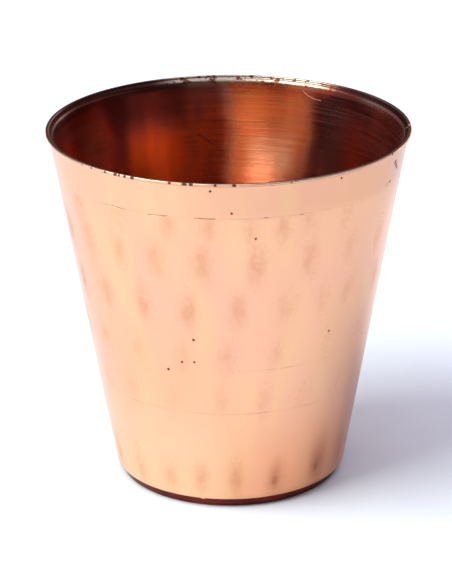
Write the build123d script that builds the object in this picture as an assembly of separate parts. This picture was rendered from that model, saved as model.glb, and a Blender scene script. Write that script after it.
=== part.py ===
from build123d import *
import math
import os

# A small tapered drinking tumbler of hammered sheet copper, for about a quarter of a litre.
# The wall is a cone of sheet, rolled up and brazed along one side seam. The base is a pressed
# pan with a turned-up flange. It is pushed up inside the wall's lower end and brazed there, and
# its heel stands a little below the wall's cut edge as a foot.
# Millimetres. The origin is at the centre of the foot's rest plane, +Z is up along the axis, the
# side seam is on +X, and the front is -Y.

# Overall sizes
OVERALL_HEIGHT = 80.0
LIP_RADIUS = 40.0
WALL_TOP_RADIUS = 39.45        # the cone's outside, produced up to the overall height
WALL_FOOT_RADIUS = 25.85       # the cone's outside at the cut lower edge
WALL_FOOT_HEIGHT = 2.2         # the cut lower edge, above the rest plane
SHEET = 0.8                    # wall and pan, through the sheet

# Burnished lip
LIP_HEIGHT = 0.9               # the sheet turns outwards from this far below the top
LIP_BAND = 0.4                 # the upright part of the turned-out sheet
LIP_OUTER_ROUND = 0.3
LIP_INNER_ROUND = 0.25

# Turned line under the plain band
LINE_HEIGHT = 71.8
LINE_WIDTH = 0.4
LINE_DEPTH = 0.12

# Base pan
FLANGE_TOP = 7.5               # top of the turned-up flange
HEEL_ROUND = 1.3               # outside of the bend between flange and floor
REST_RING_INNER = 20.0         # the flat ring that the tumbler stands on starts here
DISH_RADIUS = 16.5             # the floor inside this radius is dished up
DISH_RISE = 0.6

# Brazing
BRAZE_GAP = 0.12               # film between the flange and the wall, across the joint
BRAZE_LEG = 0.4                # legs of the fillets at both ends of that film
SEAM_WIDTH = 0.6               # brazed butt seam up the wall

CONE_SLOPE = (WALL_TOP_RADIUS - WALL_FOOT_RADIUS) / (OVERALL_HEIGHT - WALL_FOOT_HEIGHT)
LEAN_STRETCH = math.hypot(1.0, CONE_SLOPE)              # a thickness of the leaning wall, measured level


def outside(z):
    """Radius of the wall's outer cone at a height."""
    return WALL_FOOT_RADIUS + CONE_SLOPE * (z - WALL_FOOT_HEIGHT)


def inside(z):
    """Radius of the wall's inner cone at a height."""
    return outside(z) - SHEET * LEAN_STRETCH


def flange_outside(z):
    """Radius of the base pan's flange at a height, inside the braze film."""
    return inside(z) - BRAZE_GAP * LEAN_STRETCH


def flange_inside(z):
    """Radius of the flange's inner face at a height."""
    return flange_outside(z) - SHEET * LEAN_STRETCH


def turned(profile, rounds=()):
    """Solid of revolution about Z from (radius, height) corners, some of them rounded.

    rounds lists (corner, fillet radius) for corners of the profile.
    """
    with BuildPart() as solid:
        with BuildSketch(Plane.XZ) as section:
            with BuildLine():
                Polyline(*profile, close=True)
            make_face()
            for corner, radius in rounds:
                fillet(section.vertices().sort_by_distance(corner)[0], radius)
        revolve(axis=Axis.Z)
    return solid.part


def whole_wall():
    """The full cone with its cut lower edge, its lip and the turned line."""
    line_low = LINE_HEIGHT - LINE_WIDTH / 2
    line_high = LINE_HEIGHT + LINE_WIDTH / 2
    flare_foot = OVERALL_HEIGHT - LIP_HEIGHT
    band_foot = OVERALL_HEIGHT - LIP_BAND
    lip_inner_radius = LIP_RADIUS - SHEET
    lip_outer_corner = (LIP_RADIUS, OVERALL_HEIGHT)
    lip_inner_corner = (lip_inner_radius, OVERALL_HEIGHT)
    profile = [
        (inside(WALL_FOOT_HEIGHT), WALL_FOOT_HEIGHT),
        (outside(WALL_FOOT_HEIGHT), WALL_FOOT_HEIGHT),
        (outside(line_low), line_low),
        (outside(LINE_HEIGHT) - LINE_DEPTH, LINE_HEIGHT),
        (outside(line_high), line_high),
        (outside(flare_foot), flare_foot),
        (LIP_RADIUS, band_foot),
        lip_outer_corner,
        lip_inner_corner,
        (lip_inner_radius, band_foot),
        (inside(flare_foot), flare_foot),
    ]
    rounds = [(lip_outer_corner, LIP_OUTER_ROUND), (lip_inner_corner, LIP_INNER_ROUND)]
    return turned(profile, rounds)


def seam_slot():
    """The slice of space that the side seam fills, through the wall on its +X side."""
    beyond = 5.0
    length = LIP_RADIUS + beyond
    height = OVERALL_HEIGHT + 2 * beyond
    slot = Box(length, SEAM_WIDTH, height, align=(Align.MIN, Align.CENTER, Align.CENTER))
    return Pos(0, 0, OVERALL_HEIGHT / 2) * slot


def wall_shell():
    """The rolled wall, open along the seam."""
    return whole_wall() - seam_slot()


def side_seam():
    """Filler metal of the butt seam, dressed flush with the wall on both faces."""
    return whole_wall() & seam_slot()


def base_pan():
    """Pressed floor disc with a flat rest ring, a rounded heel and a flange inside the wall."""
    heel = (flange_outside(0.0), 0.0)
    inner_heel = (flange_inside(SHEET), SHEET)
    profile = [
        (0.0, DISH_RISE),
        (DISH_RADIUS, DISH_RISE),
        (REST_RING_INNER, 0.0),
        heel,
        (flange_outside(FLANGE_TOP), FLANGE_TOP),
        (flange_inside(FLANGE_TOP), FLANGE_TOP),
        inner_heel,
        (REST_RING_INNER, SHEET),
        (DISH_RADIUS, DISH_RISE + SHEET),
        (0.0, DISH_RISE + SHEET),
    ]
    rounds = [(heel, HEEL_ROUND), (inner_heel, HEEL_ROUND - SHEET)]
    return turned(profile, rounds)


def base_braze():
    """Braze drawn right through the lap of flange and wall, with a fillet at each end."""
    low = WALL_FOOT_HEIGHT
    high = FLANGE_TOP
    profile = [
        (flange_outside(low - BRAZE_LEG), low - BRAZE_LEG),
        (inside(low) + BRAZE_LEG, low),
        (inside(low), low),
        (inside(high + BRAZE_LEG), high + BRAZE_LEG),
        (flange_outside(high) - BRAZE_LEG, high),
        (flange_outside(high), high),
    ]
    return turned(profile)


def main():
    os.makedirs("parts", exist_ok=True)
    nodes = {
        "wall_shell": wall_shell(),
        "side_seam": side_seam(),
        "base_pan": base_pan(),
        "base_braze": base_braze(),
    }
    for name, solid in nodes.items():
        export_step(solid, f"parts/{name}.step")


main()
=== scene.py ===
import math
import random

import bpy
import numpy as np
from mathutils import Euler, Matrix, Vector


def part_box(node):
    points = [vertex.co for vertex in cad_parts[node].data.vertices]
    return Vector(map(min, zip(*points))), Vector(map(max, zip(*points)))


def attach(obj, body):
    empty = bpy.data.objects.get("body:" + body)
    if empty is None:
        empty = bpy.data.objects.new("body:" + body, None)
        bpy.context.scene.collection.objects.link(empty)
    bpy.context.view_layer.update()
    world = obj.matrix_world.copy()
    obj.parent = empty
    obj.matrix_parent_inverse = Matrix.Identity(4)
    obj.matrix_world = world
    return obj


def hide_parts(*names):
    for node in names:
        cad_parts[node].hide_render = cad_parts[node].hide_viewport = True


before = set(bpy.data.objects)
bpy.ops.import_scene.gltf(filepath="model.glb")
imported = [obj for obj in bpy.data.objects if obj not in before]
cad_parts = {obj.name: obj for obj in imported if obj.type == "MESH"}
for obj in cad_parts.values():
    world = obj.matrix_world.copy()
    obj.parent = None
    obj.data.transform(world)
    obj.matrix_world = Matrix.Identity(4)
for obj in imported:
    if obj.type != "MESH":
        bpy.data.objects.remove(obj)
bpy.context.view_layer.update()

# A small tapered tumbler of hammered sheet copper. The CAD nodes give the sizes, and each is
# replaced by a finer mesh: the hammered wall with its lip and turned lines, the brazed side seam,
# the pressed base pan, and the braze round the base.
# Lengths in this script are millimetres, and angles round the cup are degrees to the right of the
# front centre line (-Y). Meshes are scaled to metres as they are made.

MM = 0.001
SEED = 11


def mm_box(node):
    """Lowest and highest corners of a CAD node, in millimetres."""
    low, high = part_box(node)
    return low / MM, high / MM


# ---------------------------------------------------------------- sizes of the wall

WALL_LOW, WALL_HIGH = mm_box("wall_shell")
PAN_HIGH = mm_box("base_pan")[1]
BRAZE_LOW = mm_box("base_braze")[0]
SEAM_LOW, SEAM_HIGH = mm_box("side_seam")

TOP = WALL_HIGH.z
WALL_FOOT = WALL_LOW.z
LIP_RADIUS = WALL_HIGH.y
SEAM_WIDTH = SEAM_HIGH.y - SEAM_LOW.y
SEAM_ANGLE = 90                  # on +X
FOOT_RADIUS = 25.85              # the cone's outside at the wall's lower edge
TOP_RADIUS = 39.45               # the cone's outside, produced up to the top
SHEET = 0.8
BRAZE_FILM = 0.12                # between the base's flange and the wall
CONE_SLOPE = (TOP_RADIUS - FOOT_RADIUS) / (TOP - WALL_FOOT)
LEAN_STRETCH = math.hypot(1.0, CONE_SLOPE)       # a thickness of the leaning wall, measured level

LIP_HEIGHT = 0.9                 # the sheet turns outwards from this far below the top
LIP_BAND = 0.4                   # the upright part of the turned-out sheet
FLARE_FOOT = TOP - LIP_HEIGHT
FLARE_TOP = TOP - LIP_BAND
LIP_OUTER_ROUND = 0.3
LIP_INNER_ROUND = 0.25
LIP_CROWN = 0.05                 # the lip's top face starts this far below the top
EDGE_ROUND = 0.22                # outside of the wall's cut lower edge


def outside(z):
    """Radius of the wall's outer cone at a height."""
    return FOOT_RADIUS + CONE_SLOPE * (z - WALL_FOOT)


def inside(z):
    """Radius of the wall's inner cone at a height."""
    return outside(z) - SHEET * LEAN_STRETCH


# ---------------------------------------------------------------- hammering and turned lines

# The rows of hammer blows: height, the blows' half width and half height, how deep they are, how
# dark their unpolished bottoms are, and the angles of the blows on the front. The blows on the
# back carry on at the row's own pitch, in degrees.
HAMMER_ROWS = [
    dict(z=69.6, wide=2.3, tall=4.4, deep=0.06, dark=0.8, pitch=15,
         front=(-58, -38, -20, -6, 7, 17, 27, 41)),
    dict(z=61.0, wide=2.5, tall=5.2, deep=0.08, dark=1.0, pitch=17,
         front=(-72, -56, -40, -25, -9, 9, 28, 45, 62)),
    dict(z=49.8, wide=2.5, tall=5.2, deep=0.08, dark=1.0, pitch=17,
         front=(-68, -51, -32, -15, 3, 21, 36, 48, 66)),
    dict(z=38.0, wide=2.4, tall=5.0, deep=0.06, dark=0.6, pitch=19,
         front=(-75, -57, -38, -18, -1, 18, 40, 60)),
    dict(z=27.0, wide=2.3, tall=4.8, deep=0.05, dark=0.45, pitch=19,
         front=(-63, -44, -24, -4, 14, 31, 52)),
    dict(z=7.2, wide=2.1, tall=5.2, deep=0.10, dark=1.0, pitch=18,
         front=(-68, -48, -30, -14, 3, 22, 45, 64)),
]
BACK_FROM, BACK_TO = 80, 280
ANGLE_SCATTER = 2.5              # of the blows on the back
WIDER, TALLER = 1.12, 1.1        # a blow fades out this much beyond its half width and height
DENT_SHARPNESS = 2.4             # of a blow's hollow, from its middle out
MARK_SHARPNESS = 2.0             # of a blow's dark bottom

# Turned lines: height, half width, depth, and the angles between which each shows, with how
# strong it is there.
TURNED_LINES = [
    dict(z=71.8, half=0.13, deep=0.04, dark=0.4, start=-45, end=34, around=0.3),
    dict(z=35.0, half=0.12, deep=0.02, dark=0.35, start=0, end=41, around=0.1),
    dict(z=24.3, half=0.12, deep=0.025, dark=0.45, start=-49, end=42, around=0.15),
]
PLAIN_BAND_FROM = 71.8
WAVE_HEIGHT = 0.022

# The burr on the wall's cut lower edge
BURR_ANGLE = -13.6
BURR_HALF_WIDTH = 0.42
BURR_OUT = 0.16
BURR_DOWN = 0.12

# Darkening round some of the lowest blows, partly their dark bottoms and partly painted shade where
# the wall mirrors the shadow on the floor: angle, height, half width, half height and strength.
LOW_DARK_SPOTS = [
    (46.5, 8.0, 3.0, 7.0, 0.62), (45.2, 7.0, 0.9, 1.4, 0.75), (22.0, 6.4, 2.2, 4.2, 0.36),
    (21.4, 6.2, 0.7, 1.2, 0.6), (3.0, 6.6, 2.0, 4.6, 0.16), (-14.0, 6.8, 1.8, 4.4, 0.10),
    (64.0, 8.5, 3.0, 6.0, 0.35),
]


def smooth(x, low, high):
    """Zero at low, one at high, and smooth between them."""
    t = np.clip((x - low) / (high - low), 0.0, 1.0)
    return t * t * (3.0 - 2.0 * t)


def hammer_blows():
    """Every blow, with its own small differences. The marks get paler towards the right."""
    rng = random.Random(SEED)
    blows = []
    for row in HAMMER_ROWS:
        angles = list(row["front"])
        angle = BACK_FROM
        while angle < BACK_TO:
            angles.append(angle + rng.uniform(-ANGLE_SCATTER, ANGLE_SCATTER))
            angle += row["pitch"]
        for angle in angles:
            blows.append({
                "angle": angle + rng.uniform(-0.4, 0.4),
                "z": row["z"] + rng.uniform(-0.5, 0.5),
                "wide": row["wide"] * rng.uniform(0.85, 1.12),
                "tall": row["tall"] * rng.uniform(0.88, 1.12),
                "deep": row["deep"] * rng.uniform(0.75, 1.2),
                "dark": row["dark"] * rng.uniform(0.75, 1.15) * (1.2 - 0.55 * smooth(angle, 5, 50)),
                "tilt": rng.uniform(-0.10, 0.10),
            })
    return blows


BLOWS = hammer_blows()


def wrapped(degrees):
    """The same angle between -180 and 180 degrees."""
    return (degrees + 180.0) % 360.0 - 180.0


def hammer_field(angle, z):
    """Depth of the hammering and darkness of its bottoms, at arrays of angles and heights."""
    depth = np.zeros_like(z)
    mark = np.zeros_like(z)
    for blow in BLOWS:
        across = np.radians(wrapped(angle - blow["angle"])) * outside(blow["z"])
        up = z - blow["z"]
        across = across + blow["tilt"] * up
        spread = (across / (WIDER * blow["wide"])) ** 2 + (up / (TALLER * blow["tall"])) ** 2
        depth = np.maximum(depth, blow["deep"] * np.exp(-DENT_SHARPNESS * spread))
        mark = np.maximum(mark, blow["dark"] * np.exp(-MARK_SHARPNESS * spread))
    hammered = smooth(z, PLAIN_BAND_FROM, PLAIN_BAND_FROM - 0.35)
    return depth * hammered, mark * hammered


def waves(angle, z):
    """The gentle unevenness that hand work leaves over the whole wall."""
    a = np.radians(angle)
    slow = np.sin(5 * a + 0.4) * np.sin(z / 21.0 + 0.7) + 0.8 * np.sin(9 * a + z / 37.0 + 2.1)
    quick = 0.5 * np.sin(14 * a - z / 17.0 + 0.9) + 0.35 * np.sin(23 * a + z / 9.0)
    below_band = smooth(z, PLAIN_BAND_FROM + 1.0, PLAIN_BAND_FROM - 6.0)
    return WAVE_HEIGHT * (slow + quick) * (0.25 + 0.75 * below_band)


def line_field(angle, z):
    """Depth and darkness of the turned lines. They fade in and out as they go round."""
    depth = np.zeros_like(z)
    dark = np.zeros_like(z)
    a = wrapped(angle)
    for n, line in enumerate(TURNED_LINES):
        across = np.exp(-((z - line["z"]) / line["half"]) ** 2)
        begun = smooth(a, line["start"] - 2, line["start"] + 3)
        not_ended = smooth(a, line["end"] + 2, line["end"] - 3)
        uneven = 0.62 + 0.38 * np.sin(np.radians(a) * 11 + 1.3 * n) * np.sin(np.radians(a) * 4 + 2.0 + n)
        strength = (line["around"] + (1.0 - line["around"]) * begun * not_ended) * uneven
        depth = np.maximum(depth, line["deep"] * across * strength)
        dark = np.maximum(dark, line["dark"] * across * strength)
    return depth, dark


def inner_fields(angle, z):
    """How the inside is coloured, as one field from 0 to 1 for each colour of it: tarnish and painted light.

    The front half of the inside is wiped bright. The back half is red with tarnish, but for one strip a
    little right of its middle, which carries a painted highlight low down and is more orange near the lip.
    At the strip's left is a painted warm reflection with painted orange glow, and painted shade above it
    and down the far left. Towards both sides the brown tarnish is lightened as painted light for the light
    they mirror, and the inner flare and the lip's top face are painted shade, least at the back, where the
    flare carries a painted pale highlight. side is measured from the back centre line.
    """
    side = wrapped(180.0 - angle) + 0.9 * np.sin(z / 2.9 + 0.4) + 0.5 * np.sin(z / 1.1)
    red = smooth(np.abs(side), 112, 84)
    strip = smooth(side, -4, 5) * smooth(side, 35, 26)
    # A painted warm reflection at the strip's left, strongest low down, with a weaker part reaching the
    # strip.
    warm = smooth(side, -43, -37) * smooth(side, -13, -18) * smooth(z, 73, 64)
    weaker_warm_reflection = 0.55 * smooth(side, -17, -12) * smooth(side, 2, -6) * smooth(z, 74, 66)
    # Brown tarnish towards the sides, lightened as painted light for the light the sides mirror; side_brown
    # is the lightest, furthest out.
    brown = (smooth(side, 31, 42) + smooth(-side, 46, 60)) * smooth(z, 79, 73)
    # A painted highlight low in the strip.
    bright = smooth(side, 4, 12) * smooth(side, 28, 20) * smooth(z, 70, 62)
    back = smooth(np.abs(side - 8), 38, 22)
    flare = smooth(z, TOP - 1.7, TOP - 1.0)
    inner_round = smooth(z, TOP - 0.32, TOP - 0.1)
    top_face = smooth(z, TOP - 0.12, TOP - 0.04)
    # Painted shade on the inner flare and on the lip's top face, least at the back, for the dark room they
    # mirror.
    lip_shade = flare * (1.0 - 0.7 * back) * (1.0 - 0.45 * inner_round) * (1.0 - top_face)
    lip_shade = lip_shade + (0.93 - 0.7 * back) * top_face
    # Painted shade above the warm reflection and down the far left of the inside.
    above_warm = 0.9 * smooth(side, -52, -44) * smooth(side, -10, -22) * smooth(z, 67, 74)
    left_side = 0.75 * smooth(-side, 44, 58) * smooth(side, -78, -64)
    return {
        "tarnish": red * (1.0 - strip),
        "strip": strip,
        "warm": np.maximum(warm, weaker_warm_reflection),
        "brown": brown,
        "side_brown": smooth(-side, 60, 76) + smooth(side, 48, 62),
        "fire": 0.3 * strip * smooth(z, 66, 75),
        "bright": bright,
        "dim": np.maximum(above_warm, left_side),
        # Painted orange glow within the painted warm reflection.
        "glow": 0.3 * smooth(z, 71, 64) * smooth(side, -42, -37) * smooth(side, -18, -25),
        # Painted pale highlight on the back of the inner flare.
        "pale": flare * back,
        "lip_shade": lip_shade,
    }


def outer_shade_and_darkening(angle, z):
    """Brown darkening on the outside: painted shade down the right, mostly low, where the wall mirrors
    the floor's shadow, and high; faintly on the plain band and at the far left, and round some of the
    lowest blows."""
    a = wrapped(angle)
    # Painted shade down the right of the wall from low_right, high_right and right_side. Low down it stands
    # for the floor's shadow that the wall mirrors.
    low_right = 0.6 * smooth(a, 48, 88) * smooth(a, 150, 110) * smooth(z, 36, 18)
    plain_band = 0.13 * smooth(z, 70.5, 73) * smooth(a, -25, 10) * smooth(a, 150, 110)
    high_right = 0.24 * smooth(z, 62, 74) * smooth(a, 46, 72) * smooth(a, 150, 110)
    right_side = 0.05 * smooth(a, 5, 25) * smooth(a, 150, 110)
    left_edge = 0.10 * smooth(a, -48, -72) * smooth(a, -150, -110) * smooth(z, 30, 55)
    tint = low_right + plain_band + high_right + right_side + left_edge
    for at, height, wide, tall, dark in LOW_DARK_SPOTS:
        across = np.radians(a - at) * outside(height)
        spot = dark * np.exp(-(across / wide) ** 2 - ((z - height) / tall) ** 2)
        tint = tint + spot * (1.0 - tint)
    return tint


def painted_foot_highlight(angle, z):
    """Painted highlight low on the outside, left of the front."""
    a = wrapped(angle)
    return 0.9 * smooth(z, 34, 10) * smooth(a, -82, -50) * smooth(a, 6, -14)


def painted_foot_reflection(angle, z):
    """Warmer colour low on the outside: a painted reflection of the shaded floor by the foot, warmed by
    light off the copper.
    """
    a = wrapped(angle)
    return 0.5 * smooth(z, 30, 6) * smooth(a, -20, 32) * smooth(a, 150, 110)


# ---------------------------------------------------------------- mesh helpers

def new_object(name, vertices_mm, faces, attributes=None, face_materials=None):
    """A smooth-shaded mesh object from vertices in millimetres."""
    mesh = bpy.data.meshes.new(name)
    mesh.from_pydata((np.asarray(vertices_mm) * MM).tolist(), [], faces)
    for attribute, values in (attributes or {}).items():
        layer = mesh.attributes.new(attribute, "FLOAT", "POINT")
        layer.data.foreach_set("value", np.asarray(values, np.float32).ravel())
    mesh.polygons.foreach_set("use_smooth", [True] * len(mesh.polygons))
    if face_materials is not None:
        mesh.polygons.foreach_set("material_index", face_materials)
    mesh.update()
    obj = bpy.data.objects.new(name, mesh)
    bpy.context.scene.collection.objects.link(obj)
    return obj


def arc(centre, radius, start, end, count):
    """Points on an arc in the (radius, height) plane, angles in degrees from +radius."""
    points = []
    for step in range(count + 1):
        a = math.radians(start + (end - start) * step / count)
        points.append((centre[0] + radius * math.cos(a), centre[1] + radius * math.sin(a)))
    return points


def spun_vertices(profile, columns, wobble):
    """A (radius, height) profile turned about Z. wobble gives each point its own radius and height."""
    turns = np.arange(columns) * 2 * math.pi / columns
    vertices = []
    for radius, z in profile:
        for a in turns:
            r, h = wobble(radius, z, a)
            vertices.append((r * math.sin(a), -r * math.cos(a), h))
    return vertices


def spun_faces(profile, columns, closed):
    """The faces between a turned profile's rows, and from its last row to its first if closed."""
    rows = len(profile)
    faces = []
    for i in range(rows if closed else rows - 1):
        n = (i + 1) % rows
        for j in range(columns):
            k = (j + 1) % columns
            faces.append((i * columns + j, i * columns + k, n * columns + k, n * columns + j))
    return faces


# ---------------------------------------------------------------- the wall

COLUMNS = 360
ROW_STEP = 0.54
INNER_EVERY = 2                  # the inside has every second row of the outside
FLARE_ROWS = 5
LIP_FROM = 0.75                  # share of the flare at which the lip's own finish starts
OUTER, LIP, INNER = 0, 1, 2      # kinds of row, and the wall's material slots


def outer_levels():
    """Heights of the outer face's rows, closer together at the turned lines."""
    low = WALL_FOOT + EDGE_ROUND
    count = round((FLARE_FOOT - low) / ROW_STEP)
    levels = [low + (FLARE_FOOT - low) * i / count for i in range(count + 1)]
    for line in TURNED_LINES:
        near = [line["z"] + line["half"] * k for k in (-2.0, -1.2, -0.6, 0.0, 0.6, 1.2, 2.0)]
        levels = [z for z in levels if not near[0] - 0.2 < z < near[-1] + 0.2]
        levels += near
    return sorted(levels)


def wall_profile():
    """The wall's section as rows of radius, height and kind: up the outside, over the lip and down
    the inside."""
    levels = outer_levels()
    rows = []
    foot_centre = (outside(WALL_FOOT) - EDGE_ROUND, WALL_FOOT + EDGE_ROUND)
    rows += [(r, z, OUTER) for r, z in arc(foot_centre, EDGE_ROUND, -90, -12, 4)]
    rows += [(outside(z), z, OUTER) for z in levels]
    flare = np.linspace(FLARE_FOOT, FLARE_TOP, FLARE_ROWS + 1)[1:]
    turned_out = smooth(flare, FLARE_FOOT, FLARE_TOP)
    for z, share in zip(flare, turned_out):
        rows.append((outside(z) + (LIP_RADIUS - outside(z)) * share, z, LIP if share > LIP_FROM else OUTER))
    centre = (LIP_RADIUS - LIP_OUTER_ROUND, TOP - LIP_OUTER_ROUND)
    crown = TOP - LIP_CROWN
    rows += [(r, z, LIP if z < crown else INNER) for r, z in arc(centre, LIP_OUTER_ROUND, 0, 90, 6)]
    lip_inner = LIP_RADIUS - SHEET
    centre = (lip_inner + LIP_INNER_ROUND, TOP - LIP_INNER_ROUND)
    rows += [(r, z, INNER) for r, z in arc(centre, LIP_INNER_ROUND, 90, 180, 5)]
    for z, share in reversed(list(zip(flare, turned_out))):
        rows.append((inside(z) + (lip_inner - inside(z)) * share, z, INNER))
    rows += [(inside(z), z, INNER) for z in reversed(levels[::INNER_EVERY])]
    rows.append((inside(WALL_FOOT), WALL_FOOT, INNER))
    return rows


def wall_surface(angle, radius, z, kind):
    """One row of the wall with its hammering, waves and lines: radius, height, mark and line darkness."""
    z = np.full_like(angle, z)
    depth, mark = hammer_field(angle, z)
    groove, dark = line_field(angle, z)
    wave = waves(angle, z)
    if kind == OUTER:
        r = radius - depth - groove + wave * smooth(z, WALL_FOOT, WALL_FOOT + 3)
        across = np.radians(wrapped(angle - BURR_ANGLE)) * FOOT_RADIUS
        burr = np.exp(-(across / BURR_HALF_WIDTH) ** 2)
        low_edge = smooth(z, WALL_FOOT + 1.2, WALL_FOOT)
        r = r + BURR_OUT * burr * low_edge
        z = z - BURR_DOWN * burr * low_edge
        return r, z, mark, dark
    if kind == LIP:
        a = np.radians(angle)
        uneven = 0.02 * np.sin(7 * a + 1.0) + 0.015 * np.sin(31 * a) + 0.012 * np.sin(53 * a + 2.0)
        return radius + uneven - 0.03, z - 0.02 + 0.5 * uneven, mark * 0, dark * 0
    bulge = 0.2 * depth * smooth(z, PLAIN_BAND_FROM, PLAIN_BAND_FROM - 8)
    return radius - bulge + 0.5 * wave, z, mark, dark * 0


def wall_mesh():
    """The rolled wall, open along the seam's slot, with its colour fields as attributes."""
    rows = wall_profile()
    share = np.arange(COLUMNS + 1) / COLUMNS
    radii, heights, angles, marks, darks = [], [], [], [], []
    for radius, z, kind in rows:
        half_slot = math.degrees(math.asin(SEAM_WIDTH / 2 / radius))
        angle = SEAM_ANGLE + half_slot + (360 - 2 * half_slot) * share
        r, h, mark, dark = wall_surface(angle, radius, z, kind)
        radii.append(r)
        heights.append(h)
        angles.append(angle)
        marks.append(mark)
        darks.append(dark)
    a = np.radians(np.array(angles))
    r = np.array(radii)
    vertices = np.stack([r * np.sin(a), -r * np.cos(a), np.array(heights)], -1).reshape(-1, 3)
    width = COLUMNS + 1
    faces, kinds = [], []
    count = len(rows)
    for i in range(count):
        n = (i + 1) % count
        kind = rows[n][2] if rows[i][2] == OUTER and rows[n][2] == LIP else rows[i][2]
        for j in range(COLUMNS):
            faces.append((i * width + j, i * width + j + 1, n * width + j + 1, n * width + j))
            kinds.append(kind)
    first_end = [i * width for i in range(count)]
    last_end = [i * width + COLUMNS for i in range(count)]
    faces += [tuple(reversed(first_end)), tuple(last_end)]
    kinds += [INNER, INNER]
    attributes = {
        "mark": np.array(marks),
        "groove": np.array(darks),
        "tint": outer_shade_and_darkening(np.array(angles), np.array(heights)),
        "foot": painted_foot_reflection(np.array(angles), np.array(heights)),
        "foot_highlight": painted_foot_highlight(np.array(angles), np.array(heights)),
    }
    attributes.update(inner_fields(np.array(angles), np.array(heights)))
    return new_object("hammered_wall", vertices, faces, attributes, kinds)


# ---------------------------------------------------------------- the side seam

def seam_mesh():
    """The brazed strip in the wall's slot, a hair proud and wavy from dressing."""
    rows = wall_profile()
    steps = 6                    # columns across the strip
    grid = []
    for radius, z, kind in rows:
        half_slot = math.degrees(math.asin(SEAM_WIDTH / 2 / radius))
        angle = SEAM_ANGLE + half_slot * np.linspace(-1, 1, steps + 1)
        r, h, _, _ = wall_surface(angle, radius, z, kind)
        crown = 1 - np.linspace(-1, 1, steps + 1) ** 2
        ripple = 0.02 + 0.008 * math.sin(z * 2.3) + 0.006 * math.sin(z * 5.1 + 1)
        sign = -1 if kind == INNER else (1 if kind == OUTER else 0)
        r = r + sign * ripple * crown
        a = np.radians(angle)
        grid.append(np.stack([r * np.sin(a), -r * np.cos(a), h], -1))
    vertices = np.array(grid).reshape(-1, 3)
    width = steps + 1
    count = len(rows)
    faces, kinds = [], []
    for i in range(count):
        n = (i + 1) % count
        for j in range(steps):
            faces.append((i * width + j, i * width + j + 1, n * width + j + 1, n * width + j))
            kinds.append(1 if rows[i][2] == INNER else 0)
    faces.append(tuple(i * width for i in reversed(range(count))))
    faces.append(tuple(i * width + steps for i in range(count)))
    kinds += [1, 1]
    return new_object("seam_braze", vertices, faces, None, kinds)


# ---------------------------------------------------------------- the base pan and its braze

PAN_COLUMNS = 256
DISH_RISE = 0.6
DISH_RADIUS = 16.5
REST_INNER = 20.0                # the flat ring that the tumbler stands on starts here
HEEL_ROUND = 0.6
INNER_HEEL_ROUND = 0.5
AXIS_GAP = 0.4                   # the section starts this far off the axis
DISH_STEPS = 8


def flange_outside(z):
    """Radius of the base's flange at a height, inside the braze film."""
    return inside(z) - BRAZE_FILM * LEAN_STRETCH


def flange_inside(z):
    """Radius of the flange's inner face at a height."""
    return flange_outside(z) - SHEET * LEAN_STRETCH


def bend(corner_radius, corner_z, radius, count):
    """Arc of a bend from the level floor up to the leaning flange."""
    lean = math.atan(CONE_SLOPE)
    setback = radius * math.tan((math.pi / 2 - lean) / 2)
    centre = (corner_radius - setback, corner_z + radius)
    return arc(centre, radius, -90, -math.degrees(lean), count)


def pan_profile():
    """Section of the pan from the centre out, up the flange and back in over the floor.

    Also says how many of its points are on the outside.
    """
    steps = DISH_STEPS
    under = [(AXIS_GAP, DISH_RISE)]
    under += [(DISH_RADIUS * k / steps, DISH_RISE) for k in range(1, steps)]
    slope = [(k / steps, 0.5 - 0.5 * math.cos(math.pi * k / steps)) for k in range(steps + 1)]
    under += [(DISH_RADIUS + (REST_INNER - DISH_RADIUS) * t, DISH_RISE * (1 - s)) for t, s in slope]
    heel = bend(flange_outside(0.0), 0.0, HEEL_ROUND, 8)
    top = PAN_HIGH.z
    flange_low = heel[-1][1]
    flange = [(flange_outside(z), z) for z in np.linspace(flange_low, top, 8)[1:]]
    inner_flange = [(flange_inside(z), z) for z in np.linspace(top, SHEET + 0.5, 8)]
    inner_heel = list(reversed(bend(flange_inside(SHEET), SHEET, INNER_HEEL_ROUND, 5)))
    floor = [(REST_INNER + (DISH_RADIUS - REST_INNER) * t, SHEET + DISH_RISE * s) for t, s in slope]
    floor += [(DISH_RADIUS * k / steps, SHEET + DISH_RISE) for k in range(steps - 1, 0, -1)]
    floor += [(AXIS_GAP, SHEET + DISH_RISE)]
    outer = under + heel + flange
    return outer + inner_flange + inner_heel + floor, len(outer)


def pan_mesh():
    """The pan. Its middle is closed by two small discs, as the section stops just off the axis."""
    profile, outer_count = pan_profile()

    def hand_dressed(radius, z, a):
        """The flange is a little uneven from hand work. The floor and the rest ring are not."""
        uneven = 0.012 * math.sin(5 * a + radius) + 0.01 * math.sin(11 * a - radius * 0.7)
        outer = float(smooth(radius, REST_INNER, REST_INNER + 4.0))
        return radius + uneven * outer * 0.8, z

    rows = len(profile)
    vertices = spun_vertices(profile, PAN_COLUMNS, hand_dressed)
    faces = spun_faces(profile, PAN_COLUMNS, closed=False)
    last_row = (rows - 1) * PAN_COLUMNS
    faces.append(tuple(reversed(range(PAN_COLUMNS))))
    faces.append(tuple(range(last_row, last_row + PAN_COLUMNS)))
    below = [1.0 if i < outer_count else 0.0 for i in range(rows) for _ in range(PAN_COLUMNS)]
    return new_object("pressed_base", vertices, faces, {"below": below})


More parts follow.
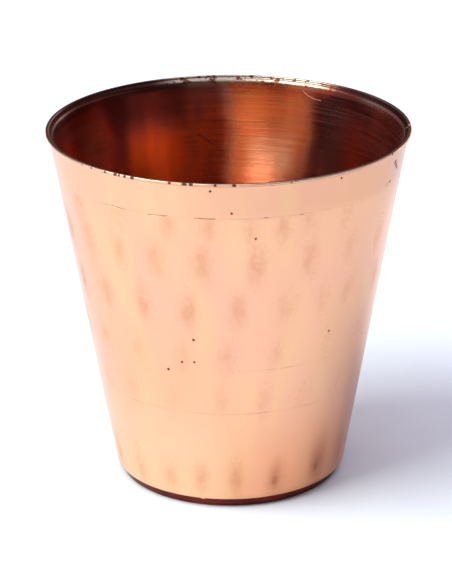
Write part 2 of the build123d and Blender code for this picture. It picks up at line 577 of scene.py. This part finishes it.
def braze_mesh():
    """Film of braze through the lap, with a slightly uneven hollow fillet at each end."""
    low = WALL_FOOT
    high = PAN_HIGH.z
    leg = low - BRAZE_LOW.z
    hollow = 0.3                 # how far a fillet's middle stands out, as a share of its leg
    outer_fillet = [
        (flange_outside(low - leg), low - leg),
        (flange_outside(low) + leg * hollow, low - leg * hollow),
        (inside(low) + leg, low),
    ]
    inner_fillet = [
        (inside(high + leg), high + leg),
        (inside(high) - leg * hollow, high + leg * hollow),
        (flange_outside(high) - leg, high),
    ]
    film_out = [(inside(z), z) for z in np.linspace(low, high, 4)]
    film_in = [(flange_outside(z), z) for z in np.linspace(high, low - leg * 0.5, 4)]
    profile = outer_fillet + film_out + inner_fillet + film_in

    def uneven(radius, z, a):
        if radius in (outer_fillet[1][0], outer_fillet[0][0]):
            return radius, z + 0.05 * math.sin(13 * a) * math.sin(5 * a + 1)
        if radius in (inner_fillet[1][0], inner_fillet[2][0]):
            return radius - 0.04 * math.sin(17 * a) * math.sin(4 * a + 2), z
        return radius, z

    vertices = spun_vertices(profile, PAN_COLUMNS, uneven)
    faces = spun_faces(profile, PAN_COLUMNS, closed=True)
    return new_object("base_braze_ring", vertices, faces)


# ---------------------------------------------------------------- materials

MIX_A, MIX_B, MIX_RESULT = 6, 7, 2       # the colour sockets of a Mix node


class Nodes:
    """Short calls for building one node material."""

    def __init__(self, name):
        self.material = bpy.data.materials.new(name)
        self.material.use_nodes = True
        self.tree = self.material.node_tree
        self.shader = self.tree.nodes["Principled BSDF"]
        coordinates = self.tree.nodes.new("ShaderNodeTexCoord")
        self.place = coordinates.outputs["Object"]

    def put(self, value, socket):
        """Links another node's output to the socket, or sets the socket's own value."""
        if isinstance(value, bpy.types.NodeSocket):
            self.tree.links.new(value, socket)
        else:
            socket.default_value = value

    def math(self, operation, a, b=0.0, c=0.0):
        node = self.tree.nodes.new("ShaderNodeMath")
        node.operation = operation
        for value, socket in zip((a, b, c), node.inputs):
            self.put(value, socket)
        return node.outputs[0]

    def stretched(self, x, y, z):
        """The object's own coordinates in metres, scaled along each axis."""
        node = self.tree.nodes.new("ShaderNodeMapping")
        node.inputs["Scale"].default_value = (x, y, z)
        self.put(self.place, node.inputs["Vector"])
        return node.outputs[0]

    def noise(self, scale, vector=None, detail=4.0, roughness=0.55, distortion=0.0):
        node = self.tree.nodes.new("ShaderNodeTexNoise")
        node.inputs["Scale"].default_value = scale
        node.inputs["Detail"].default_value = detail
        node.inputs["Roughness"].default_value = roughness
        node.inputs["Distortion"].default_value = distortion
        self.put(vector or self.place, node.inputs["Vector"])
        return node.outputs["Fac"]

    def ramp(self, value, low, high, to_low=0.0, to_high=1.0):
        """Value from low to high becomes to_low to to_high, smoothly, and stays there outside."""
        node = self.tree.nodes.new("ShaderNodeMapRange")
        node.interpolation_type = "SMOOTHSTEP"
        for name, number in (("From Min", low), ("From Max", high), ("To Min", to_low), ("To Max", to_high)):
            node.inputs[name].default_value = number
        self.put(value, node.inputs["Value"])
        return node.outputs["Result"]

    def mix(self, factor, a, b):
        node = self.tree.nodes.new("ShaderNodeMix")
        node.data_type = "RGBA"
        self.put(factor, node.inputs[0])
        for value, socket in ((a, node.inputs[MIX_A]), (b, node.inputs[MIX_B])):
            self.put(value if isinstance(value, bpy.types.NodeSocket) else (*value, 1.0), socket)
        return node.outputs[MIX_RESULT]

    def attribute(self, name):
        node = self.tree.nodes.new("ShaderNodeAttribute")
        node.attribute_name = name
        return node.outputs["Fac"]

    def height(self):
        node = self.tree.nodes.new("ShaderNodeSeparateXYZ")
        self.put(self.place, node.inputs[0])
        return node.outputs["Z"]

    def near(self, point_mm, radius_mm):
        """One at a point on the surface, falling to nothing at a radius."""
        node = self.tree.nodes.new("ShaderNodeVectorMath")
        node.operation = "DISTANCE"
        self.put(self.place, node.inputs[0])
        node.inputs[1].default_value = tuple(x * MM for x in point_mm)
        return self.ramp(node.outputs["Value"], radius_mm * MM, radius_mm * MM * 0.45)

    def stroke(self, start_mm, end_mm, half_width_mm):
        """One along the straight line between two points, falling to nothing at a distance from it."""
        start = Vector(start_mm) * MM
        along = Vector(end_mm) * MM - start
        offset = self.vector("SUBTRACT", self.place, start)
        share = self.vector("DOT_PRODUCT", offset, along / along.length_squared)
        share = self.math("MAXIMUM", self.math("MINIMUM", share, 1.0), 0.0)
        foot = self.tree.nodes.new("ShaderNodeVectorMath")
        foot.operation = "SCALE"
        foot.inputs[0].default_value = along
        self.put(share, foot.inputs["Scale"])
        distance = self.vector("DISTANCE", offset, foot.outputs[0])
        return self.ramp(distance, half_width_mm * MM, half_width_mm * MM * 0.3)

    def strokes(self, ends, place):
        """Several strokes: angle and height of both ends and half width, put on a surface by place."""
        made = [self.stroke(place(a, low), place(b, high), half) for a, low, b, high, half in ends]
        return self.most(made)

    def vector(self, operation, a, b):
        node = self.tree.nodes.new("ShaderNodeVectorMath")
        node.operation = operation
        self.put(a, node.inputs[0])
        self.put(b, node.inputs[1])
        return node.outputs["Value" if operation in ("DOT_PRODUCT", "DISTANCE") else "Vector"]

    def most(self, values):
        """The largest of several values."""
        top = values[0]
        for value in values[1:]:
            top = self.math("MAXIMUM", top, value)
        return top

    def bump(self, height, distance_mm, strength=1.0, below=None):
        node = self.tree.nodes.new("ShaderNodeBump")
        node.inputs["Strength"].default_value = strength
        node.inputs["Distance"].default_value = distance_mm * MM
        self.put(height, node.inputs["Height"])
        if below is not None:
            self.put(below, node.inputs["Normal"])
        return node.outputs["Normal"]

    def finish(self, colour, roughness, normal, metallic=1.0, anisotropic=0.0):
        self.put(colour, self.shader.inputs["Base Color"])
        self.put(roughness, self.shader.inputs["Roughness"])
        self.put(normal, self.shader.inputs["Normal"])
        self.shader.inputs["Metallic"].default_value = metallic
        self.shader.inputs["Anisotropic"].default_value = anisotropic
        return self.material


def on_wall(angle, z):
    """A point on the wall's outside, in millimetres."""
    a = math.radians(angle)
    return outside(z) * math.sin(a), -outside(z) * math.cos(a), z


def on_lip(angle):
    """A point on the lip's outer edge, in millimetres."""
    a = math.radians(angle)
    return LIP_RADIUS * math.sin(a), -LIP_RADIUS * math.cos(a), TOP - LIP_OUTER_ROUND


def in_wall(angle, z):
    """A point on the wall's inside; angle is to the right of the back centre line, seen from the front."""
    a = math.radians(angle)
    return inside(z) * math.sin(a), inside(z) * math.cos(a), z


# Corrosion pits in the polished face: angle, height and radius.
PITS = [
    (-13.5, 42.6, 0.42), (-18.7, 36.8, 0.38), (-13.7, 37.1, 0.34), (-24.7, 34.5, 0.42),
    (-5.6, 78.2, 0.36), (0.8, 73.1, 0.38), (8.6, 67.0, 0.36), (66.7, 76.8, 0.45),
    (64.4, 72.6, 0.45), (40.7, 41.6, 0.36), (36.7, 78.4, 0.32), (160.0, 52.0, 0.4), (205.0, 33.0, 0.4),
    (66.0, 76.6, 0.7), (67.5, 75.7, 0.7), (68.8, 74.9, 0.55),
    (128.0, 21.0, 0.36), (238.0, 63.0, 0.4),
]

# Dark strokes on the outside: angle and height of both ends, and half width.
SCRATCHES = [
    (-40.0, 71.85, -35.2, 71.6, 0.15), (-26.3, 71.6, -19.5, 71.8, 0.15), (-10.6, 71.85, -4.3, 71.8, 0.14),
    (11.0, 71.8, 24.0, 71.7, 0.10), (62.7, 72.8, 61.8, 72.1, 0.3),
]
# Strokes on the inside, right of the back centre line: a pale scratch and a dark one.
PALE_SCRATCHES = [
    (26.9, 77.6, 29.0, 76.7, 0.2), (29.0, 76.7, 31.4, 76.2, 0.22), (31.4, 76.2, 34.0, 76.1, 0.18),
]
DARK_SCRATCHES = [(-11.3, 66.9, -5.8, 64.4, 0.5)]
# Corroded patches under the back of the lip: angle and radius.
CORRODED_HEIGHT = 79.3
CORRODED = [(3, 3.0), (9, 3.6), (15, 3.8), (22, 4.6), (29, 4.6), (35, 3.6)]
# Nicks in the lip's outer edge: angle and radius.
LIP_NICKS = [
    (-45.8, 0.35), (-40.1, 0.4), (-36.1, 0.6), (-34.7, 0.4), (-32.6, 0.5), (-30.0, 0.65), (-17.8, 0.45),
    (-13.2, 0.75), (-11.2, 0.6), (-4.0, 0.45), (1.6, 0.6), (60.0, 0.4), (171.0, 0.6), (175.5, 0.5),
    (185.0, 0.5), (196.0, 0.6),
]

POLISHED = (0.89, 0.485, 0.29)
POLISHED_PINK = (0.89, 0.475, 0.315)
POLISHED_GOLD = (0.90, 0.515, 0.295)
MARK_COLOUR = (0.72, 0.32, 0.165)
SHADE_AND_SPOT_COLOUR = (0.34, 0.105, 0.055)
FOOT_REFLECTION_COLOUR = (0.86, 0.32, 0.135)
HIGHLIGHT_COPPER = (0.91, 0.56, 0.345)
LINE_COLOUR = (0.42, 0.17, 0.09)
LIP_BRIGHT = (0.93, 0.59, 0.42)
LIP_WORN = (0.84, 0.48, 0.33)
LIP_PALE_HIGHLIGHT = (0.64, 0.50, 0.35)
OXIDE = (0.16, 0.055, 0.03)
INNER_BRIGHT = (0.93, 0.56, 0.38)
INNER_HIGHLIGHT_AND_SCRATCH = (0.97, 0.62, 0.42)
INNER_WORN = (0.89, 0.50, 0.33)
STRIP_COPPER = (0.72, 0.30, 0.145)
STRIP_WORN = (0.66, 0.25, 0.11)
TARNISH_RED = (0.58, 0.105, 0.05)
TARNISH_DARK = (0.34, 0.075, 0.06)
WARM_TARNISH_AND_REFLECTION = (0.88, 0.11, 0.01)
ORANGE_TARNISH_AND_GLOW = (0.93, 0.175, 0.02)
BROWN_TARNISH_AND_LIGHT = (0.68, 0.35, 0.30)
SIDE_TARNISH_AND_LIGHT = (0.88, 0.56, 0.50)
INNER_PAINTED_SHADE = (0.13, 0.025, 0.022)
LIP_SHADE_COLOUR = (0.05, 0.016, 0.013)
LIP_SHADE_SPECULAR = (0.60, 0.47, 0.43)
WHITE = (1.0, 1.0, 1.0)
PAN_BRIGHT = (0.86, 0.42, 0.26)
PAN_WORN = (0.72, 0.30, 0.17)
PAN_UNDERSIDE_SHADE = (0.17, 0.03, 0.027)
PAN_UNDERSIDE_DEEP_SHADE = (0.10, 0.018, 0.018)
BRASS_BRIGHT = (0.80, 0.55, 0.27)
BRASS_WORN = (0.62, 0.36, 0.17)
BRASS_TARNISHED = (0.46, 0.20, 0.11)
BRASS_DARK = (0.34, 0.13, 0.08)
PAPER_LIGHT = (0.90, 0.90, 0.905)
PAPER_DARK = (0.88, 0.88, 0.885)


def outer_copper():
    """Polished hammered copper: satin gloss, fine turning marks, darker unpolished hammer marks, pits."""
    n = Nodes("hammered_copper")
    turning = n.noise(1.0, n.stretched(70, 70, 2600), detail=3.0)
    soft_patches = n.noise(38.0, detail=3.0)
    tall_patches = n.noise(1.0, n.stretched(130, 130, 26), detail=2.0)
    mottle = n.noise(1.0, n.stretched(420, 420, 1500), detail=4.0, roughness=0.65)
    colour = n.mix(n.ramp(soft_patches, 0.35, 0.68), POLISHED, POLISHED_PINK)
    colour = n.mix(n.ramp(tall_patches, 0.45, 0.7), colour, POLISHED_GOLD)
    blotches = n.noise(1.0, n.stretched(620, 620, 300), detail=3.0, roughness=0.6)
    mark = n.math("MULTIPLY", n.attribute("mark"), n.ramp(mottle, 0.25, 0.72, 0.65, 1.1))
    mark = n.math("MULTIPLY", mark, n.ramp(blotches, 0.3, 0.66, 0.45, 1.2))
    mark = n.math("MINIMUM", mark, 1.0)
    # Painted highlight low on the wall, left of the front.
    colour = n.mix(n.attribute("foot_highlight"), colour, HIGHLIGHT_COPPER)
    colour = n.mix(n.math("MULTIPLY", mark, 0.45), colour, MARK_COLOUR)
    # Painted warm reflection low on the front and right of the wall.
    colour = n.mix(n.attribute("foot"), colour, FOOT_REFLECTION_COLOUR)
    # Painted shade down the right, with the darkening on the plain band, at the far left and round the
    # lowest blows.
    tint = n.math("MULTIPLY", n.attribute("tint"), n.ramp(mottle, 0.2, 0.8, 0.9, 1.1))
    colour = n.mix(tint, colour, SHADE_AND_SPOT_COLOUR)
    worn = n.ramp(n.noise(240.0, detail=3.0), 0.3, 0.62, 0.15, 1.0)
    groove = n.math("MULTIPLY", n.attribute("groove"), worn)
    strokes = n.strokes(SCRATCHES, on_wall)
    groove = n.math("MAXIMUM", groove, n.math("MULTIPLY", strokes, n.ramp(mottle, 0.3, 0.6, 0.5, 0.95)))
    colour = n.mix(groove, colour, LINE_COLOUR)
    pits = n.most([n.near(on_wall(angle, z), radius) for angle, z, radius in PITS])
    pits = n.math("MULTIPLY", pits, n.ramp(n.noise(2600.0, detail=1.0), 0.3, 0.5, 0.45, 1.0))
    colour = n.mix(pits, colour, OXIDE)
    rough = n.math("MULTIPLY_ADD", mark, 0.22, 0.2)
    rough = n.math("MULTIPLY_ADD", soft_patches, 0.07, rough)
    rough = n.math("MULTIPLY_ADD", pits, 0.3, rough)
    lines = n.bump(turning, 0.0035)
    grain = n.bump(n.math("MULTIPLY", mottle, mark), 0.006, below=lines)
    holes = n.bump(n.math("SUBTRACT", 1.0, n.math("MAXIMUM", pits, groove)), 0.08, below=grain)
    return n.finish(colour, rough, holes)


def inner_copper():
    """Inside of the wall: turned and wiped copper, tarnished at the back, with lathe lines."""
    n = Nodes("turned_inner_copper")
    lathe = n.noise(1.0, n.stretched(40, 40, 2600), detail=4.0, roughness=0.6)
    bands = n.noise(1.0, n.stretched(30, 30, 900), detail=4.0, roughness=0.6)
    runs = n.noise(1.0, n.stretched(260, 260, 28), detail=3.0)
    strip = n.attribute("strip")
    colour = n.mix(n.ramp(runs, 0.35, 0.65), INNER_BRIGHT, INNER_WORN)
    colour = n.mix(strip, colour, n.mix(n.ramp(runs, 0.35, 0.65), STRIP_COPPER, STRIP_WORN))
    # Painted highlight low in the strip.
    colour = n.mix(n.attribute("bright"), colour, INNER_HIGHLIGHT_AND_SCRATCH)
    band = n.math("MULTIPLY", n.ramp(bands, 0.48, 0.66, 0.0, 0.3), strip)
    colour = n.mix(band, colour, WARM_TARNISH_AND_REFLECTION)
    colour = n.mix(n.attribute("fire"), colour, ORANGE_TARNISH_AND_GLOW)
    red = n.mix(n.ramp(runs, 0.4, 0.62), TARNISH_RED, TARNISH_DARK)
    red = n.mix(n.ramp(n.height(), 0.071, 0.079), red, TARNISH_DARK)
    # Brown tarnish towards the sides, lightened as painted light for the light they mirror.
    red = n.mix(n.attribute("brown"), red, BROWN_TARNISH_AND_LIGHT)
    red = n.mix(n.attribute("side_brown"), red, SIDE_TARNISH_AND_LIGHT)
    colour = n.mix(n.attribute("tarnish"), colour, red)
    # Painted warm reflection at the strip's left, then painted orange glow over it.
    warm = n.math("MULTIPLY", n.attribute("warm"), n.ramp(runs, 0.3, 0.6, 1.0, 0.6))
    colour = n.mix(warm, colour, WARM_TARNISH_AND_REFLECTION)
    colour = n.mix(n.attribute("glow"), colour, ORANGE_TARNISH_AND_GLOW)
    # Painted shade above the warm reflection and down the far left.
    colour = n.mix(n.attribute("dim"), colour, INNER_PAINTED_SHADE)
    speckle = n.ramp(n.noise(2300.0, detail=2.0, roughness=0.6), 0.42, 0.62)
    patches = n.most([n.near(in_wall(angle, CORRODED_HEIGHT), radius) for angle, radius in CORRODED])
    corroded = n.math("MULTIPLY", patches, speckle)
    colour = n.mix(n.math("MULTIPLY", patches, 0.6), colour, WARM_TARNISH_AND_REFLECTION)
    colour = n.mix(n.math("MULTIPLY", corroded, 0.6), colour, TARNISH_DARK)
    # Painted pale highlight on the back of the inner flare, broken by dark chips.
    chips = n.ramp(n.noise(800.0, detail=2.0), 0.52, 0.62)
    colour = n.mix(n.attribute("pale"), colour, n.mix(chips, LIP_PALE_HIGHLIGHT, OXIDE))
    # Painted shade on the inner flare and the lip's top face, least at the back.
    colour = n.mix(n.attribute("lip_shade"), colour, LIP_SHADE_COLOUR)
    dark = n.strokes(DARK_SCRATCHES, in_wall)
    colour = n.mix(n.math("MULTIPLY", dark, 0.7), colour, TARNISH_DARK)
    pale = n.strokes(PALE_SCRATCHES, in_wall)
    colour = n.mix(n.math("MULTIPLY", pale, 0.6), colour, INNER_HIGHLIGHT_AND_SCRATCH)
    rough = n.ramp(lathe, 0.3, 0.7, 0.12, 0.22)
    rough = n.math("MULTIPLY_ADD", corroded, 0.08, rough)
    rough = n.math("MULTIPLY_ADD", pale, 0.2, rough)
    rough = n.math("MULTIPLY_ADD", n.attribute("lip_shade"), 0.3, rough)
    lines = n.bump(n.math("MULTIPLY", lathe, n.ramp(strip, 0.0, 1.0, 0.4, 1.0)), 0.010)
    rough_patch = n.bump(corroded, 0.005, below=lines)
    # The painted shade also tints the reflection there.
    n.put(n.mix(n.attribute("lip_shade"), WHITE, LIP_SHADE_SPECULAR), n.shader.inputs["Specular Tint"])
    return n.finish(colour, rough, rough_patch)


def lip_copper():
    """The burnished lip, worn along the edge, with small dark nicks."""
    n = Nodes("worn_lip_copper")
    wear = n.noise(160.0, detail=4.0)
    small = n.ramp(n.noise(760.0, detail=3.0, roughness=0.7), 0.58, 0.66)
    where = n.ramp(n.noise(70.0, detail=2.0), 0.44, 0.58)
    nicks = n.most([n.near(on_lip(angle), radius) for angle, radius in LIP_NICKS])
    nicks = n.math("MAXIMUM", nicks, n.math("MULTIPLY", small, where))
    colour = n.mix(n.ramp(wear, 0.35, 0.65), LIP_BRIGHT, LIP_WORN)
    colour = n.mix(nicks, colour, OXIDE)
    rough = n.math("MULTIPLY_ADD", nicks, 0.2, 0.42)
    return n.finish(colour, rough, n.bump(n.math("SUBTRACT", 1.0, nicks), 0.06))


def base_copper():
    """The pan: painted shade below, near black where its heel mirrors the shaded floor, and wiped copper on
    its floor.
    """
    n = Nodes("base_copper")
    patches = n.noise(90.0, detail=5.0)
    fine = n.noise(900.0, detail=3.0)
    clean = n.mix(n.ramp(patches, 0.35, 0.65), PAN_BRIGHT, PAN_WORN)
    # Painted shade: near black below, where the heel mirrors the shaded floor under the tumbler.
    underside_shade = n.mix(n.ramp(patches, 0.35, 0.65), PAN_UNDERSIDE_SHADE, PAN_UNDERSIDE_DEEP_SHADE)
    colour = n.mix(n.attribute("below"), clean, underside_shade)
    colour = n.mix(n.math("MULTIPLY", n.ramp(fine, 0.55, 0.75), 0.5), colour, OXIDE)
    rough = n.math("MULTIPLY_ADD", patches, 0.2, 0.25)
    return n.finish(colour, rough, n.bump(fine, 0.01))


def braze_metal():
    """Brazing brass, dressed on the seam and left as it ran in the fillets."""
    n = Nodes("braze_metal")
    patches = n.noise(300.0, detail=4.0)
    files = n.noise(1.0, n.stretched(300, 300, 2500), detail=3.0)
    colour = n.mix(n.ramp(patches, 0.35, 0.65), BRASS_BRIGHT, BRASS_WORN)
    rough = n.ramp(files, 0.3, 0.7, 0.28, 0.42)
    return n.finish(colour, rough, n.bump(files, 0.01))


def tarnished_braze():
    """The seam's inner face, dressed flush and tarnished with the copper round it."""
    n = Nodes("tarnished_braze")
    patches = n.noise(300.0, detail=4.0)
    lathe = n.noise(1.0, n.stretched(40, 40, 2600), detail=3.0)
    colour = n.mix(n.ramp(patches, 0.35, 0.65), BRASS_TARNISHED, BRASS_DARK)
    return n.finish(colour, n.ramp(lathe, 0.3, 0.7, 0.16, 0.24), n.bump(lathe, 0.006))


def floor_white():
    """Matt white paper."""
    n = Nodes("paper_floor")
    fine = n.noise(60.0, detail=2.0)
    colour = n.mix(n.ramp(fine, 0.3, 0.7), PAPER_LIGHT, PAPER_DARK)
    return n.finish(colour, 0.7, n.bump(fine, 0.02), metallic=0.0)


# ---------------------------------------------------------------- stage

FLOOR_HALF = 900.0


def add_floor():
    """The plain floor, square about the tumbler."""
    half = FLOOR_HALF
    corners = [(-half, -half, 0), (half, -half, 0), (half, half, 0), (-half, half, 0)]
    floor = new_object("floor", corners, [(0, 1, 2, 3)])
    floor.data.materials.append(floor_white())


LIGHTS_AIM = (0, 0, 40)          # the middle of the tumbler


def add_softbox(name, azimuth, elevation, distance, width, height, watts, colour):
    """A rectangular soft light, not seen itself. azimuth is degrees to the left of the front."""
    light = bpy.data.lights.new(name, "AREA")
    light.shape = "RECTANGLE"
    light.size = width * MM
    light.size_y = height * MM
    light.energy = watts
    light.color = colour
    obj = bpy.data.objects.new(name, light)
    a, e = math.radians(azimuth), math.radians(elevation)
    spot = Vector((-math.sin(a) * math.cos(e), -math.cos(a) * math.cos(e), math.sin(e))) * distance
    obj.location = (spot + Vector(LIGHTS_AIM)) * MM
    obj.rotation_euler = spot.to_track_quat("Z", "Y").to_euler()
    obj.visible_camera = False
    bpy.context.scene.collection.objects.link(obj)


ROOM_COLOUR = (0.8, 0.86, 1.0, 1.0)
ROOM_STRENGTH = 0.03
BACKDROP_STRENGTH = 1.05


def add_world():
    """A dim room round the lights, which the camera sees as a pale backdrop."""
    world = bpy.data.worlds.new("studio")
    world.use_nodes = True
    tree = world.node_tree
    background = tree.nodes["Background"]
    background.inputs["Color"].default_value = ROOM_COLOUR
    path = tree.nodes.new("ShaderNodeLightPath")
    strength = tree.nodes.new("ShaderNodeMath")
    strength.operation = "MULTIPLY_ADD"
    tree.links.new(path.outputs["Is Camera Ray"], strength.inputs[0])
    strength.inputs[1].default_value = BACKDROP_STRENGTH
    strength.inputs[2].default_value = ROOM_STRENGTH
    tree.links.new(strength.outputs[0], background.inputs["Strength"])
    bpy.context.scene.world = world


CAMERA_BACK = 547.3
CAMERA_UP = 251.5
CAMERA_LENS = 161.6
CAMERA_ROLL = -0.36              # degrees
CAMERA_AIM = (-0.77, 0.0, 41.15)


def add_camera():
    """The camera, at the photo's viewing angle."""
    data = bpy.data.cameras.new("camera")
    data.lens = CAMERA_LENS
    data.sensor_width = 36.0
    data.clip_end = 20.0
    camera = bpy.data.objects.new("camera", data)
    place = Vector((0.0, -CAMERA_BACK, CAMERA_UP))
    toward = Vector(CAMERA_AIM) - place
    turn = toward.to_track_quat("-Z", "Y").to_euler()
    turn = (turn.to_matrix() @ Euler((0, 0, math.radians(CAMERA_ROLL))).to_matrix()).to_euler()
    camera.location = place * MM
    camera.rotation_euler = turn
    bpy.context.scene.collection.objects.link(camera)
    bpy.context.scene.camera = camera


def build_stage():
    """Floor, backdrop, lights and camera. The cards stand low, for the inside of the cup to mirror."""
    add_floor()
    add_world()
    # Name, azimuth, elevation, distance, width, height, watts and colour
    add_softbox("key_softbox", 66, 50, 2000, 1400, 1400, 47.0, (0.89, 0.995, 0.99))
    add_softbox("overhead_softbox", 0, 90, 2000, 3000, 3000, 42.3, (0.74, 0.765, 1.0))
    add_softbox("front_softbox", 5, 38, 1900, 1000, 500, 1.9, (0.9, 0.94, 1.0))
    add_softbox("right_card", -100, 17, 1500, 1950, 360, 2.2, (0.90, 0.91, 1.0))
    add_softbox("back_card", -155, 13, 1500, 1750, 540, 6.4, (0.95, 0.94, 1.0))
    add_softbox("back_left_card", 140, 14, 1500, 1800, 500, 0.9, (0.95, 0.94, 1.0))
    add_softbox("left_card", 74, 13, 1500, 2080, 560, 2.0, (0.95, 0.94, 1.0))
    add_softbox("front_card", 0, 13, 1500, 1600, 450, 0.42, (0.95, 0.94, 1.0))
    add_camera()
    bpy.context.scene.view_settings.view_transform = "Standard"
    bpy.context.scene.cycles.glossy_bounces = 12
    bpy.context.scene.cycles.max_bounces = 14


# ---------------------------------------------------------------- the tumbler

def dress(piece, slot, node, *materials):
    """Gives a piece its materials, sets it on its body, and hides the CAD node it stands for."""
    for material in materials:
        piece.data.materials.append(material)
    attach(piece, "root")
    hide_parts(node)


def build_tumbler():
    """The four pieces, each in the place of its CAD node."""
    braze = braze_metal()
    dress(wall_mesh(), "hammered_copper", "wall_shell", outer_copper(), lip_copper(), inner_copper())
    dress(seam_mesh(), "braze_metal", "side_seam", braze, tarnished_braze())
    dress(pan_mesh(), "base_copper", "base_pan", base_copper())
    dress(braze_mesh(), "braze_metal", "base_braze", braze)


build_stage()
build_tumbler()
